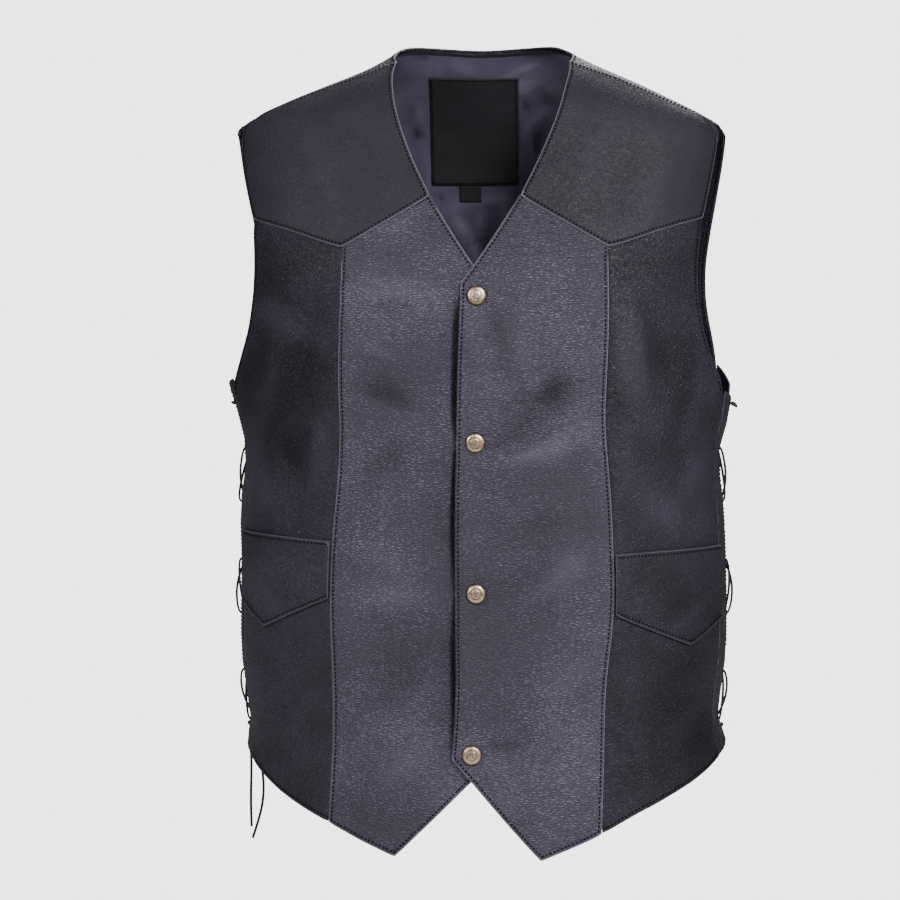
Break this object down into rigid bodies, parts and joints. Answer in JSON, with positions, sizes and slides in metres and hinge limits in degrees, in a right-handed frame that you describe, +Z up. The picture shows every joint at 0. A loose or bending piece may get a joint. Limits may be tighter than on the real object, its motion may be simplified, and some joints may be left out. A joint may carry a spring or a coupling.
{
  "type": "leather vest",
  "caption": "Leather vest in its worn, hollow form: V neck, pointed shoulder yokes and hem, snap front, pocket welts and open side lacing.",
  "frame": {"origin": "midway between the shoulders, at the height of the neck ends of the shoulder seams, where the wearer's shoulders hold it up", "axes": "+Z up, the wearer faces -Y, and +X is the wearer's left"},
  "size_m": [0.4511, 0.2568, 0.7109],
  "materials": {
    "front_leather": "pebbled black cowhide with a soft grey sheen",
    "side_leather": "smoother, darker black cowhide",
    "lining": "dark plum-grey satin",
    "label": "black woven damask",
    "lace": "round black leather cord",
    "snap_metal": "antiqued brass, worn bright on top"
  },
  "bodies": {
    "root": {"yoke_left": "side_leather", "yoke_right": "side_leather", "front_centre_left": "front_leather", "front_centre_right": "front_leather", "front_side_left": "side_leather", "front_side_right": "side_leather", "pocket_welt_left": "side_leather", "pocket_welt_right": "side_leather", "lace_strip_front_left": "side_leather", "lace_strip_front_right": "side_leather", "lace_strip_back_left": "side_leather", "lace_strip_back_right": "side_leather", "back": "front_leather", "lining_back": "lining", "neck_label": "label", "size_tab": "label", "snap_1": "snap_metal", "snap_2": "snap_metal", "snap_3": "snap_metal", "snap_4": "snap_metal", "lace_left": "lace", "lace_right": "lace", "knot_left": "lace", "knot_right": "lace", "lace_tail_1": "lace", "lace_tail_2": "lace"}
  },
  "joints": []
}
